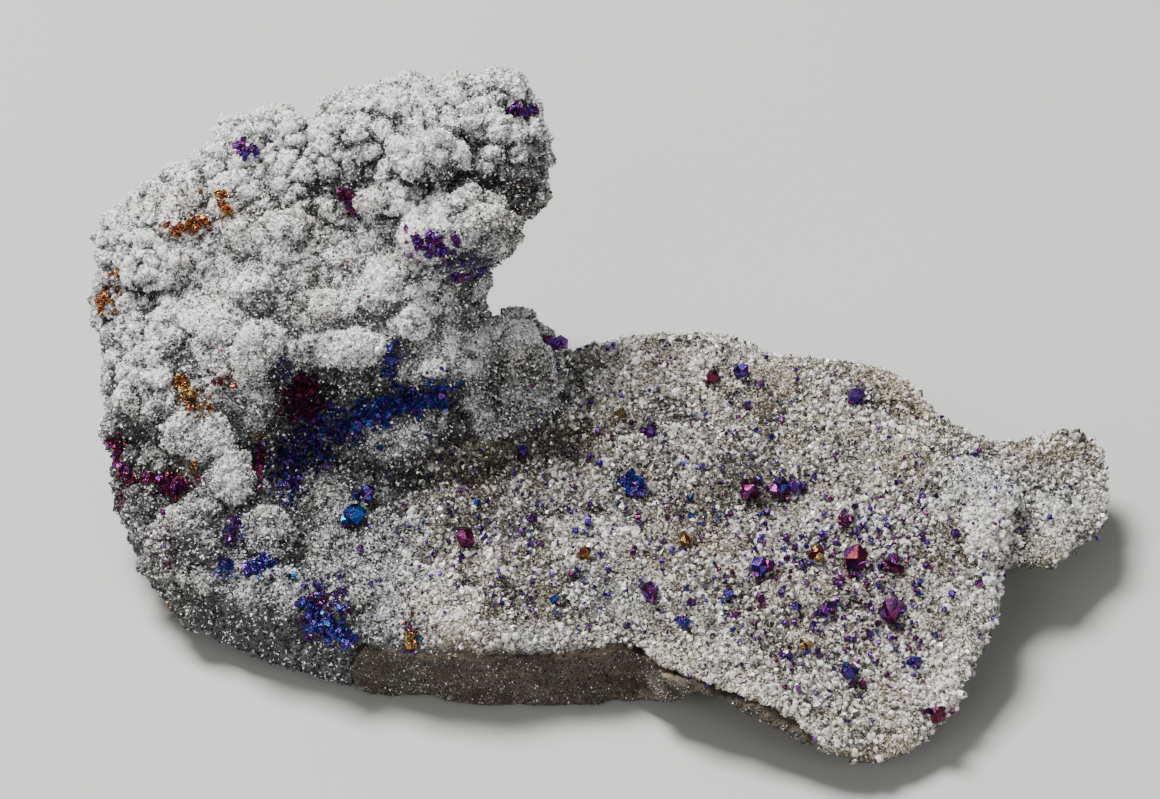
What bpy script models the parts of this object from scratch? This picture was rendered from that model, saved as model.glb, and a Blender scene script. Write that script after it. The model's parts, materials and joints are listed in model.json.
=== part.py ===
"""Chalcopyrite crystals on a drusy quartz crust, with the brown rock that it grew on.

The specimen stands on a small flat spot of the rock. +X runs along the plate, +Y to the back, +Z up, in metres.
Numbers in the tables are millimetres. The tall growth at the left leans back, so its lumps and the crystals are
laid out on a leaning face: across it, up it, and out of it, as they are seen from straight in front of the face.
"""
import math
import random

import bmesh
import bpy
import numpy as np
from mathutils import Euler, Matrix, Vector, noise
from mathutils.bvhtree import BVHTree

MM = 0.001
FACE_LEAN = math.radians(38.0)
SEEN_FROM = 542.5
SEEN_CENTRE = (-2.1, 22.7, 6.0)
VOXEL = 0.85 * MM
GAP = 0.3
BODY_TRIANGLES = 4700
PLATE_TOP = 10.0
PLATE_DEEP = 14.0
CRUST_THICK = 2.4
FLAT_SPOT = (-10.0, 7.0, 22.0, 18.0)
THICKEST = 10.6
THINNEST = 2.6
NOTCH = (10.5, -22.0, 5.5, 3.2)
KNOB_CELL = 4.6
KNOB_HEIGHT = 1.2
SEED = 7

QUARTZ_COLOUR = (0.62, 0.63, 0.62, 1)
ROCK_COLOUR = (0.09, 0.07, 0.055, 1)
TARNISH = {
    "purple": (0.16, 0.03, 0.24, 1),
    "maroon": (0.18, 0.03, 0.08, 1),
    "blue": (0.03, 0.04, 0.30, 1),
    "teal": (0.01, 0.16, 0.34, 1),
    "copper": (0.55, 0.13, 0.04, 1),
    "gold": (0.72, 0.46, 0.10, 1),
}

# The plate's outline from above, from the left round the broken front edge and the right lobes to the back.
PLATE_OUTLINE = (
    (-48, 2), (-45, -5), (-38, -9), (-30, -12), (-20, -15), (-10, -15.5), (-1, -15.5), (4, -14.8),
    (6, -19), (10, -21.5), (14, -23.3), (18, -25.5), (22, -27.3), (27, -27.6), (32, -26), (36.3, -21.8),
    (39.4, -15), (41.4, -9), (41.7, -4.7), (43.2, -1.6), (46.2, -2.4), (50.6, 2), (53.4, 6), (54.6, 12),
    (54.2, 17.2), (51.8, 20.6), (47.8, 20.6), (44, 18.6), (41, 22), (37, 25.2), (33, 30), (29, 32),
    (22, 32.2), (17.7, 33), (15, 35.4), (11, 36.8), (4.5, 36.4), (-4, 34), (-14, 40), (-30, 41), (-44, 32),
    (-50, 16),
)

# Low swells and droops of the plate's top: x, y, radius, height.
PLATE_SWELLS = (
    (32, -29, 13, -5.2), (42, 26, 11, -2.2), (55, 4, 10, -1.6), (4, 2, 20, -0.7), (22, -8, 14, 0.5),
    (41, 5, 5, 1.6), (-16, -9, 6, 1.0), (26, 27, 9, 0.6), (8, 30, 9, 0.7),
)

# Masses of the leaning growth: across, up, out, then their half sizes across, up and out.
GROWTH_MASSES = (
    (-18, 49, -2, 11, 7.6, 9), (-31.6, 44.6, -4, 12, 7.8, 9), (-43.4, 36.2, -6, 9.1, 8.6, 9),
    (-32, 34.5, -4, 13, 10, 9.5), (-21, 35.6, -2, 9, 7.6, 8), (-43.4, 25.5, -4, 8.5, 10, 9),
    (-42.4, 14.5, -2, 8.0, 9.5, 8), (-41.6, 6.5, -2, 7.2, 7, 7), (-17.8, 30, -3, 5.6, 8.5, 8),
    (-11, 48.5, -7, 5.2, 8.6, 8), (-27, 30.6, -2, 8.4, 3.8, 6.5), (-20.3, 19, -6.5, 5, 4.4, 5),
    (-33, 31, -21, 16, 20.5, 12), (-33, 14, -20, 16, 12, 10), (-22, 43, -16, 14, 11, 9),
    (-8.4, 28.2, -6.5, 4, 4, 4), (-9.2, 22.4, -7.5, 5.6, 5.4, 4.6), (-5.4, 21.6, -8, 3.4, 4, 3.6),
)

# Knobs, caps and ledges that stand out of those masses, in the same six numbers.
GROWTH_KNOBS = (
    (-11.6, 54.2, -2, 3.5, 3, 3.6), (-18.2, 48.4, 7.4, 4.2, 1.7, 2.8), (-15.2, 40.6, 5.4, 6, 4.1, 4.4),
    (-17.8, 39.4, 9.4, 2.6, 1.5, 1.6), (-49.8, 38.6, -5, 3.2, 3.2, 3.4), (-50.2, 33, -6, 2.4, 3, 3),
    (-38.2, 51, -6, 2.6, 2.2, 2.6), (-33.8, 51.6, -6, 2.6, 2, 2.6), (-27.6, 53.4, -7, 2.2, 1.6, 2.2),
    (-44.8, 45.2, -5, 2.2, 2, 2.2), (-47.6, 42.8, -5, 2.2, 2, 2.2), (-29.3, 32.3, 4.6, 2.6, 2.2, 2.2),
    (-19.8, 30.8, 4.4, 2.1, 2.4, 2), (-25.8, 28.1, 4, 3.6, 2.3, 2.8), (-17.6, 25.4, 3.4, 3.2, 1.2, 2.2),
    (-47.6, 23.4, 2.6, 3, 2.8, 3), (-43.2, 22.6, 4.6, 2.4, 2.2, 2.2), (-38.2, 22.6, 2.4, 3.2, 3.8, 3.4),
    (-49.8, 20.6, 0.6, 2.6, 2.8, 2.6), (-39, 14.4, 5.6, 2.2, 3.2, 2.6), (-41.6, 7.4, 4.6, 5.8, 4.8, 4.8),
    (-34.7, 8.9, 6, 2.5, 2.7, 2.6), (-33.9, 2.8, 7, 5.2, 2.4, 3.4), (-27.9, 3.2, 7.4, 1.8, 2.2, 1.8),
    (-43.2, 18.6, 4, 3.8, 2.6, 3), (-21.6, 43.2, 4, 3, 2.8, 2.6), (-36, 39.5, 4, 3.6, 3, 2.4),
    (-9.2, 50.6, -2, 2.8, 3.4, 3.2), (-12.2, 44.4, -3, 3.4, 3.6, 4), (-25.5, 50.5, 4, 4.2, 2.6, 2.2),
    (-47.2, 11, 0.6, 2.4, 4, 3), (-23, 25.2, -4, 3.4, 2.6, 3), (-37.8, 28.6, 4.4, 4, 2.6, 2.4),
)

# Lumps that sit on the surface wherever it is: across, up, radius.
SEATED_LUMPS = (
    (38.6, 13.2, 2.6), (41.2, 11.2, 2.4), (40.6, 7.6, 2.5), (37.2, 10.2, 2.2), (42.4, 14.4, 1.7), (36.2, 14.4, 1.8),
    (-20.6, 2.4, 1.9), (-18.2, 0.2, 2.0), (-15.6, -1.6, 1.9), (-12.8, -2.6, 1.7), (-16.6, 3.4, 1.6), (-13.6, 1.2, 1.5),
    (-10.2, -2.4, 1.4), (-27.5, 3.6, 2.4), (-24.4, 2.4, 2.0), (-33.4, 11.6, 1.8), (-28.4, 6.8, 1.5), (-24.2, 6.4, 1.4),
    (-24.8, 20.4, 2.8), (-21.2, 19.0, 3.2), (-17.6, 20.4, 2.8), (-13.2, 21.4, 2.6), (-12.4, 18.6, 2.2),
    (-39.2, 44.2, 1.3), (-44.6, 43.4, 1.3), (-46.9, 41.2, 1.3), (-49.2, 38.9, 1.2), (-38.3, 41.2, 1.1),
    (-41.8, 44.6, 1.3), (-35.6, 50.2, 1.3), (-32.4, 50.4, 1.4), (-27.2, 52.0, 1.2), (-45.0, 32.2, 1.4),
    (-29.8, 36.6, 1.5), (-33.6, 40.4, 1.6), (-24.2, 33.6, 1.5), (-27.6, 36.2, 1.3), (-36.8, 34.2, 1.5),
    (-40.4, 30.2, 1.6), (-21.6, 52.2, 1.7), (-14.6, 51.4, 1.5), (-24.6, 48.2, 1.6), (-10.2, 49.2, 1.6),
    (-46.6, 27.4, 1.6), (-40.2, 26.2, 1.5), (-43.8, 10.6, 1.3), (-47.2, 13.4, 1.4),
)

# The rock under the crust, from above. It shows where this outline passes the plate's: along the broken front.
ROCK_OUTLINE = (
    (-24, -20), (-10, -26), (2, -26), (8, -28), (16, -31), (21, -30), (23, -23), (33, -17), (35, -8), (38, 2), (37, 14),
    (33, 22), (22, 27), (8, 30), (-10, 32), (-26, 30), (-35, 20), (-37, 8), (-33, -3), (-26, -8),
)

# Single crystals: across, up, size, tarnish.
CRYSTALS = (
    (19.2, 13.1, 3.1, "purple"), (15.6, 12.2, 2.8, "maroon"), (17.3, 3.9, 3.1, "purple"),
    (26.4, 5.2, 3.3, "maroon"), (29.9, 0.3, 3.1, "maroon"), (30.3, 4.4, 2.1, "maroon"),
    (22.7, 6.0, 2.2, "copper"), (23.3, 0.2, 2.2, "purple"), (5.8, 18.6, 2.2, "purple"),
    (25.6, 9.3, 2.2, "maroon"), (12.1, 24.2, 2.1, "maroon"), (14.9, 24.8, 2.0, "purple"),
    (26.8, 22.5, 2.4, "purple"), (-5.6, 28.4, 2.6, "purple"), (-1.3, 5.8, 1.9, "copper"),
    (5.1, 1.6, 2.4, "purple"), (8.7, -1.4, 1.8, "blue"), (-13.9, 7.5, 2.7, "maroon"),
    (-7.1, 9.5, 1.9, "purple"), (-26.0, 10.2, 2.5, "teal"), (-24.4, 12.1, 2.2, "blue"),
    (-8.5, 17.1, 2.2, "purple"), (25.7, -6.4, 2.2, "blue"), (33.2, -5.6, 1.9, "blue"),
    (35.3, -10.5, 2.4, "maroon"), (21.3, -3.3, 1.7, "gold"), (2.3, 20.6, 1.7, "gold"),
    (8.9, 7.4, 1.8, "gold"), (-38.7, 4.9, 1.8, "blue"),
)

# Grown-together bands: name, crystal size, count, tarnish, then the places that the band runs through.
BANDS = (
    ("violet_group", 1.7, 3, "blue", (3.0, 13.9), (4.9, 13.0)),
    ("copper_pair", 1.2, 3, "copper", (-51.3, 34.9), (-51.9, 32.6)),
    ("copper_band", 1.0, 4, "copper", (-45.5, 40.0), (-41.3, 41.6)),
    ("copper_post", 0.9, 3, "copper", (-39.6, 44.1), (-39.1, 42.1)),
    ("violet_knot", 1.2, 3, "purple", (-37.5, 49.4), (-36.6, 48.2)),
    ("red_pocket", 1.0, 4, "maroon", (-27.4, 44.5), (-25.7, 42.8)),
    ("top_knot", 1.1, 3, "purple", (-9.3, 53.4), (-7.9, 52.9)),
    ("cap_crust", 1.4, 3, "purple", (-19.2, 39.5), (-16.3, 39.3)),
    ("ledge_crust", 1.3, 3, "purple", (-15.6, 36.3), (-12.8, 37.6)),
    ("gold_band", 1.2, 4, "gold", (-44.1, 24.2), (-43.0, 22.8), (-41.8, 21.6)),
    ("red_band", 1.3, 5, "maroon", (-50.9, 18.4), (-49.7, 16.3), (-47.4, 12.1)),
    ("crimson_band", 1.2, 6, "maroon", (-47.2, 14.0), (-44.2, 13.4), (-41.3, 15.6)),
    ("maroon_post", 1.0, 3, "maroon", (-36.3, 17.9), (-36.0, 14.4)),
    ("cave_crust", 1.9, 8, "blue", (-16.0, 24.0), (-21.0, 22.1), (-26.3, 18.6), (-31.0, 16.8)),
    ("cave_cluster", 1.9, 3, "maroon", (-32.1, 24.0), (-31.6, 20.6)),
    ("foot_cluster", 1.4, 3, "blue", (-36.9, 4.6), (-35.4, 4.8)),
    ("hollow_crust", 1.7, 5, "blue", (-31.4, 1.4), (-29.0, -1.0), (-26.8, -2.4)),
    ("gold_knot", 1.2, 3, "gold", (-19.9, -1.0), (-20.1, -3.0)),
)

LEAN = Matrix.Rotation(-FACE_LEAN, 3, "X")


def face_point(across, up, out):
    """A point in metres from its place as seen on the leaning face: what lies deeper spreads a little from the centre."""
    spread = 1 + (SEEN_CENTRE[2] - out) / SEEN_FROM
    x = SEEN_CENTRE[0] + (across - SEEN_CENTRE[0]) * spread
    z = SEEN_CENTRE[1] + (up - SEEN_CENTRE[1]) * spread
    return LEAN @ Vector((x, -out, z)) * MM


def smooth_step(low, high, value):
    t = np.clip((value - low) / (high - low), 0, 1)
    return t * t * (3 - 2 * t)


def plate_top(x, y):
    """Height of the plate's top in mm: a level with round swells and droops on it."""
    height = PLATE_TOP + 0 * x
    for swell_x, swell_y, radius, rise in PLATE_SWELLS:
        height = height + rise * np.exp(-((x - swell_x) ** 2 + (y - swell_y) ** 2) / radius**2)
    return height


def underside(x, y):
    """Height of the underside in mm: below zero in the flat spot, then up to a thin edge all round the plate.

    It is thinner still at the notch in the broken front edge.
    """
    centre_x, centre_y, half_x, half_y = FLAT_SPOT
    reach = np.hypot((x - centre_x) / half_x, (y - centre_y) / half_y)
    notch_x, notch_y, radius, rise = NOTCH
    notch = rise * np.exp(-((x - notch_x) ** 2 + (y - notch_y) ** 2) / radius**2)
    return plate_top(x, y) - THICKEST + (THICKEST - THINNEST) * smooth_step(0.9, 2.5, reach) + notch


def clear_scene():
    for obj in list(bpy.data.objects):
        bpy.data.objects.remove(obj)


def collection(name):
    made = bpy.data.collections.new(name)
    bpy.context.scene.collection.children.link(made)
    return made


def material(name, colour, roughness, metallic):
    made = bpy.data.materials.new(name)
    made.use_nodes = True
    shader = made.node_tree.nodes["Principled BSDF"]
    shader.inputs["Base Color"].default_value = colour
    shader.inputs["Roughness"].default_value = roughness
    shader.inputs["Metallic"].default_value = metallic
    return made


def mesh_object(name, bm, group):
    mesh = bpy.data.meshes.new(name)
    bm.to_mesh(mesh)
    bm.free()
    obj = bpy.data.objects.new(name, mesh)
    group.objects.link(obj)
    return obj


def settle(obj):
    """Puts the object's evaluated mesh in place of its modifiers."""
    bpy.context.view_layer.update()
    graph = bpy.context.evaluated_depsgraph_get()
    mesh = bpy.data.meshes.new_from_object(obj.evaluated_get(graph))
    obj.modifiers.clear()
    obj.data = mesh


def voxel_union(obj):
    remesh = obj.modifiers.new("union", "REMESH")
    remesh.mode = "VOXEL"
    remesh.voxel_size = VOXEL
    settle(obj)


def thin_out(obj, triangles):
    obj.data.calc_loop_triangles()
    decimate = obj.modifiers.new("thin_out", "DECIMATE")
    decimate.ratio = triangles / len(obj.data.loop_triangles)
    settle(obj)


def boolean(obj, other, operation):
    cut = obj.modifiers.new(operation.lower(), "BOOLEAN")
    cut.operation = operation
    cut.object = other
    settle(obj)


def points_of(mesh):
    points = np.empty(len(mesh.vertices) * 3, np.float32)
    mesh.vertices.foreach_get("co", points)
    return points.reshape(-1, 3).astype(float)


def put_points(mesh, points):
    mesh.vertices.foreach_set("co", points.astype(np.float32).ravel())
    mesh.update()


def outline_block(name, outline, low, high, group, smooth):
    """A closed outline in mm as a flat curve, extruded from one height to another."""
    curve = bpy.data.curves.new(name, "CURVE")
    curve.dimensions = "2D"
    curve.fill_mode = "BOTH"
    curve.extrude = (high - low) * MM / 2
    spline = curve.splines.new("BEZIER" if smooth else "POLY")
    points = spline.bezier_points if smooth else spline.points
    points.add(len(outline) - 1)
    for point, (x, y) in zip(points, outline):
        if smooth:
            point.co = (x * MM, y * MM, 0)
            point.handle_left_type = point.handle_right_type = "AUTO"
        else:
            point.co = (x * MM, y * MM, 0, 1)
    spline.use_cyclic_u = True
    spline.resolution_u = 4
    flat = bpy.data.objects.new(name, curve)
    flat.location.z = (high + low) * MM / 2
    group.objects.link(flat)
    bpy.context.view_layer.update()
    mesh = bpy.data.meshes.new_from_object(flat.evaluated_get(bpy.context.evaluated_depsgraph_get()))
    bm = bmesh.new()
    bm.from_mesh(mesh)
    bm.transform(flat.matrix_world)
    bmesh.ops.remove_doubles(bm, verts=bm.verts, dist=0.01 * MM)
    bpy.data.objects.remove(flat)
    return mesh_object(name, bm, group)


def add_lump(bm, across, up, out, half_across, half_up, half_out):
    """An icosphere pulled to its three half sizes, square to the leaning face."""
    size = Matrix.Diagonal((half_across * MM, half_out * MM, half_up * MM, 1))
    shape = Matrix.Translation(face_point(across, up, out)) @ LEAN.to_4x4() @ size
    bmesh.ops.create_icosphere(bm, subdivisions=3, radius=1, matrix=shape)


def surface_tree(obj):
    bm = bmesh.new()
    bm.from_mesh(obj.data)
    tree = BVHTree.FromBMesh(bm)
    bm.free()
    return tree


def add_seated_lumps(obj):
    """Round lumps with two thirds of their height above the surface, joined to it."""
    tree = surface_tree(obj)
    bm = bmesh.new()
    bm.from_mesh(obj.data)
    for across, up, radius in SEATED_LUMPS:
        place, normal = seat(tree, across, up)
        shape = Matrix.Translation(place + normal * radius * 0.2 * MM) @ Matrix.Scale(radius * MM, 4)
        bmesh.ops.create_icosphere(bm, subdivisions=3, radius=1, matrix=shape)
    bm.to_mesh(obj.data)
    bm.free()
    voxel_union(obj)


def knobbly(point, cell):
    """Round knobs of that cell size: one at a cell's centre, falling to nothing at its edges."""
    nearest = noise.voronoi(Vector(point) / cell)[0][0]
    return 1 - 2.2 * nearest * nearest


def make_body(group):
    """Plate and growth in one closed mesh: slab and lumps joined, the underside bowled, the growth knobbled."""
    slab = outline_block("quartz_druse", PLATE_OUTLINE, PLATE_TOP - PLATE_DEEP, PLATE_TOP, group, True)
    voxel_union(slab)
    points = points_of(slab.data) / MM
    lift = plate_top(points[:, 0], points[:, 1]) - PLATE_TOP
    points[:, 2] += lift * smooth_step(2, 9, points[:, 2])
    put_points(slab.data, points * MM)

    bm = bmesh.new()
    bm.from_mesh(slab.data)
    for lump in GROWTH_MASSES + GROWTH_KNOBS:
        add_lump(bm, *lump)
    bm.to_mesh(slab.data)
    bm.free()
    voxel_union(slab)
    add_seated_lumps(slab)

    points = points_of(slab.data) / MM
    normals = np.empty(len(points) * 3, np.float32)
    slab.data.vertices.foreach_get("normal", normals)
    normals = normals.reshape(-1, 3)
    in_growth = np.maximum(smooth_step(-8, -20, points[:, 0]), smooth_step(11, 14, points[:, 2]))
    knobs = np.array([knobbly(point, KNOB_CELL) for point in points])
    swell = np.array([noise.noise(Vector(point) / 9.0) for point in points])
    height = in_growth * KNOB_HEIGHT * knobs * smooth_step(2, 8, points[:, 2]) + 0.5 * swell
    points += normals * height[:, None]
    floor = underside(points[:, 0], points[:, 1])
    points[:, 2] = np.maximum(points[:, 2], floor)
    put_points(slab.data, points * MM)
    voxel_union(slab)
    thin_out(slab, BODY_TRIANGLES)
    return slab


def cut_flat(obj, group):
    """Takes off what is below the floor, which leaves the flat spot that the specimen rests on."""
    bm = bmesh.new()
    bmesh.ops.create_cube(bm, size=1, matrix=Matrix.Translation((0, 0, -0.05)) @ Matrix.Diagonal((0.3, 0.3, 0.1, 1)))
    below = mesh_object("below_the_floor", bm, group)
    boolean(obj, below, "DIFFERENCE")
    bpy.data.objects.remove(below)


def rock_block(group):
    """The space that the rock fills: the rock's outline from far below up to the crust's underside."""
    block = outline_block("matrix_rock", ROCK_OUTLINE, -4, PLATE_TOP, group, True)
    remesh = block.modifiers.new("even", "REMESH")
    remesh.mode = "VOXEL"
    remesh.voxel_size = 1.6 * MM
    settle(block)
    points = points_of(block.data) / MM
    wave = np.array([noise.noise(Vector(point) / 7.0) for point in points])
    crust = CRUST_THICK - 1.0 * smooth_step(2, 10, points[:, 0]) * smooth_step(-14, -20, points[:, 1])
    top = plate_top(points[:, 0], points[:, 1]) - crust + 0.6 * wave
    points[:, 2] += (top - PLATE_TOP) * smooth_step(0, 8, points[:, 2])
    points[:, 0] += 0.8 * wave
    put_points(block.data, points * MM)
    thin_out(block, 460)
    return block


def grown(obj, amount, group):
    """A copy with every point moved out along its normal."""
    copy = bpy.data.objects.new(obj.name + "_grown", obj.data.copy())
    group.objects.link(copy)
    normals = np.empty(len(copy.data.vertices) * 3, np.float32)
    copy.data.vertices.foreach_get("normal", normals)
    put_points(copy.data, points_of(copy.data) + normals.reshape(-1, 3) * amount * MM)
    return copy


def split_rock(body, group):
    """The rock is what of the body lies in the rock's space. The crust is what lies outside it, a small gap away."""
    block = rock_block(group)
    hollow = grown(block, GAP * 1.2, group)
    rock = bpy.data.objects.new("matrix_rock", body.data.copy())
    group.objects.link(rock)
    boolean(rock, block, "INTERSECT")
    boolean(body, hollow, "DIFFERENCE")
    bpy.data.objects.remove(block)
    bpy.data.objects.remove(hollow)
    keep_largest(rock)
    keep_largest(body)
    rock.name = "matrix_rock"
    return rock


def islands(bm):
    """The mesh's separate pieces, each as a list of its vertices, largest first."""
    left = set(bm.verts)
    found = []
    while left:
        front = [left.pop()]
        piece = list(front)
        while front:
            for edge in front.pop().link_edges:
                for vert in edge.verts:
                    if vert in left:
                        left.remove(vert)
                        front.append(vert)
                        piece.append(vert)
        found.append(piece)
    return sorted(found, key=len, reverse=True)


def keep_largest(obj):
    """Drops the crumbs that a cut can leave beside the main piece."""
    bm = bmesh.new()
    bm.from_mesh(obj.data)
    bmesh.ops.remove_doubles(bm, verts=bm.verts, dist=0.002 * MM)
    bmesh.ops.dissolve_degenerate(bm, edges=bm.edges, dist=0.002 * MM)
    for piece in islands(bm)[1:]:
        bmesh.ops.delete(bm, geom=piece, context="VERTS")
    bmesh.ops.triangulate(bm, faces=bm.faces)
    bm.to_mesh(obj.data)
    bm.free()


def seat(tree, across, up):
    """Where the line of sight through a place on the face meets the surface, and the surface's normal there.

    A place just past the edge takes the nearest point of the surface.
    """
    start = face_point(across, up, 60)
    toward = (face_point(across, up, -60) - start).normalized()
    place, normal, _, _ = tree.ray_cast(start, toward)
    if place is None:
        place, normal, _, _ = tree.find_nearest(face_point(across, up, 0))
    return place, normal


def crystal(bm, place, normal, size, spin, cut_corners):
    """A wedge-shaped crystal: a three-sided cone tipped off the normal, its tip or all its corners cut."""
    edge = size * MM
    turn = normal.to_track_quat("Z", "Y").to_matrix() @ Euler((spin * 0.17 % 0.7, spin * 0.31 % 0.6, spin)).to_matrix()
    shape = Matrix.Translation(place + normal * (0.16 * edge + GAP * MM)) @ turn.to_4x4()
    before = set(bm.verts)
    tip = 0 if cut_corners else edge * 0.12
    bmesh.ops.create_cone(
        bm, cap_ends=True, segments=3, radius1=edge / math.sqrt(3), radius2=tip, depth=edge * 0.78, matrix=shape
    )
    made = [vert for vert in bm.verts if vert not in before]
    if cut_corners:
        bmesh.ops.remove_doubles(bm, verts=made, dist=0.001 * MM)
        made = [vert for vert in bm.verts if vert not in before]
        bmesh.ops.bevel(bm, geom=made, offset=edge * 0.16, affect="VERTICES", segments=1)


def crystal_object(name, place, normal, size, spin, cut_corners, group):
    bm = bmesh.new()
    crystal(bm, place, normal, size, spin, cut_corners)
    bmesh.ops.triangulate(bm, faces=bm.faces)
    return mesh_object(name, bm, group)


def band_seats(tree, places, size, count):
    """Seats along a band, close enough for each crystal to overlap the next, in depth too."""
    rng = random.Random(SEED + count)
    legs = [math.dist(a, b) for a, b in zip(places, places[1:])]
    seats = []
    for index in range(count):
        left = sum(legs) * index / (count - 1)
        leg = 0
        while leg < len(legs) - 1 and left > legs[leg]:
            left -= legs[leg]
            leg += 1
        t = left / legs[leg]
        wobble = size * 0.3
        across = places[leg][0] + t * (places[leg + 1][0] - places[leg][0]) + rng.uniform(-wobble, wobble)
        up = places[leg][1] + t * (places[leg + 1][1] - places[leg][1]) + rng.uniform(-wobble, wobble)
        seats.append(seat(tree, across, up))
    close = []
    for (start, start_normal), (end, end_normal) in zip(seats, seats[1:]):
        steps = max(1, math.ceil((end - start).length / (1.0 * size * MM)))
        for step in range(steps):
            t = step / steps
            close.append((start.lerp(end, t), start_normal.lerp(end_normal, t).normalized()))
    return close + seats[-1:]


def cluster(name, seats, size, group):
    """Crystals that grew into each other, joined in one solid. A crystal on its own has all its corners cut."""
    rng = random.Random(name)
    joined = None
    for place, normal in seats:
        one_size = size * (rng.uniform(1.25, 1.6) if len(seats) > 1 else 1.1)
        one = crystal_object(name, place, normal, one_size, rng.uniform(0, 6), len(seats) == 1, group)
        if joined is None:
            joined = one
            continue
        boolean(joined, one, "UNION")
        bpy.data.objects.remove(one)
    joined.name = name
    return joined


def add_chalcopyrite(body, group):
    """Seats every crystal and band on the crust, and takes off what would reach to within a small gap of it."""
    tree = surface_tree(body)
    wanted = []
    for index, (across, up, size, tarnish) in enumerate(CRYSTALS):
        wanted.append(("chalcopyrite_crystal_%02d" % (index + 1), [seat(tree, across, up)], size, tarnish))
    for name, size, count, tarnish, *places in BANDS:
        wanted.append(("chalcopyrite_" + name, band_seats(tree, places, size, count), size, tarnish))
    skin = grown(body, GAP * 1.1, group)
    made = []
    for name, seats, size, tarnish in wanted:
        piece = cluster(name, seats, size, group)
        boolean(piece, skin, "DIFFERENCE")
        keep_largest(piece)
        piece.data.materials.clear()
        piece.data.materials.append(material(name, TARNISH[tarnish], 0.3, 1.0))
        made.append(piece)
    bpy.data.objects.remove(skin)
    return made


def centre_on_floor(pieces):
    """Moves the whole specimen so that the middle of its outer box is over the origin and it stands on zero."""
    clouds = [points_of(piece.data) for piece in pieces]
    low = np.min([cloud.min(axis=0) for cloud in clouds], axis=0)
    high = np.max([cloud.max(axis=0) for cloud in clouds], axis=0)
    shift = np.array([-(low[0] + high[0]) / 2, -(low[1] + high[1]) / 2, -low[2]])
    for piece, cloud in zip(pieces, clouds):
        put_points(piece.data, cloud + shift)
    print("moved by", [round(value / MM, 3) for value in shift])


def main():
    clear_scene()
    parts = collection("chalcopyrite_on_quartz")
    body = make_body(parts)
    cut_flat(body, parts)
    rock = split_rock(body, parts)
    crystals = add_chalcopyrite(body, parts)
    body.data.materials.clear()
    body.data.materials.append(material("quartz", QUARTZ_COLOUR, 0.45, 0.0))
    rock.data.materials.clear()
    rock.data.materials.append(material("rock", ROCK_COLOUR, 0.85, 0.0))
    centre_on_floor([body, rock] + crystals)


main()
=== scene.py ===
"""Looks of the chalcopyrite on quartz: druse, broken rock, tarnished crystals, floor, light and camera.

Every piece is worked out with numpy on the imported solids: a shape is copied, moved point by point by a
formula on whole arrays, and covered with grains, small crystals joined in one mesh. Lengths are in mm.
"""
import json
import math

import bmesh
import bpy
import numpy as np
from bpy.props import FloatProperty, FloatVectorProperty, IntProperty, PointerProperty
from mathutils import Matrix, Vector


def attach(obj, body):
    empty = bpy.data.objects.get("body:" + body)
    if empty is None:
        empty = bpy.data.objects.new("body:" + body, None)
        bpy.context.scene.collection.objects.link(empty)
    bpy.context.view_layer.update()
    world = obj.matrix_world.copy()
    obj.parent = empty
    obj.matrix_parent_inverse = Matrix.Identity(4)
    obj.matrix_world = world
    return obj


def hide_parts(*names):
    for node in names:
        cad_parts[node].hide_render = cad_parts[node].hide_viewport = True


bl_info = {
    "name": "Chalcopyrite on Quartz",
    "version": (1, 0, 0),
    "blender": (4, 5, 0),
    "location": "View3D > Sidebar > Specimen",
    "description": "Builds a chalcopyrite on quartz specimen with its druse, rock and tarnished crystals",
    "category": "Add Mesh",
}

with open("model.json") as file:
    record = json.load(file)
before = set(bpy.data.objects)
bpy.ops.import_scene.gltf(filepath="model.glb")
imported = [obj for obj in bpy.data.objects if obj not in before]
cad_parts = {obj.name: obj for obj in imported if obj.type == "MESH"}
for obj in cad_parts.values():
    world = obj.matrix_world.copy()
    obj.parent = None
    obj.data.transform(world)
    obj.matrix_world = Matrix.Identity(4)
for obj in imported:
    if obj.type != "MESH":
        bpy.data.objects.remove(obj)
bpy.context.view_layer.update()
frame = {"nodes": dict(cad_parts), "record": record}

MM = 0.001

# The camera looks down by the lean at the centre, which is given as across, up and out of the leaning face.
FACE_LEAN = math.radians(38.0)
SEEN_FROM = 542.5
SEEN_CENTRE = (-2.1, 22.7, 6.0)
ORIGIN_SHIFT = (0.096, -12.108)

# The way to the top light, by which the crust's tone is painted paler where it faces the light.
LIGHT_FROM = np.array((-0.20, 0.10, 0.975))
EYE_POWER = 2.2
# Painted glints glow white by emission at this strength, so that they show in shade as well.
PAINTED_GLINT_GLOW = 0.6
# The tarnish glows by its own colour at this strength, a painted light that keeps its colour in shade.
TARNISH_PAINTED_GLOW = 0.07
DRUSE_CELLS_PER_MM = 5.5
CROWN_KNOB = 2.3
FULL_TURN = 6.3
TINY = 1e-12

# The lowest that the crust and the grains reach over the floor.
CRUST_FLOOR = 0.05
GRAIN_FLOOR = 0.02

# The growth begins left of the plate, over this range of x, and above its top, over this range of z.
GROWTH_SIDE = (-15.0, -23.0)
GROWTH_FOOT = (12.0, 14.5)

# Ellipses by their middle and half widths: the plate's crest on the leaning face, and the ear's back in plan.
CREST = (41.0, 10.0, 2.6, 4.6)
EAR_BACK = (50.0, 5.5, 5.0, 3.2)

# The strip along the back right edge in plan: its middle, and the cosine and sine of its turn.
BACK_EDGE = (36.5, 13.2)
BACK_EDGE_TURN = (0.746, 0.667)
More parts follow.
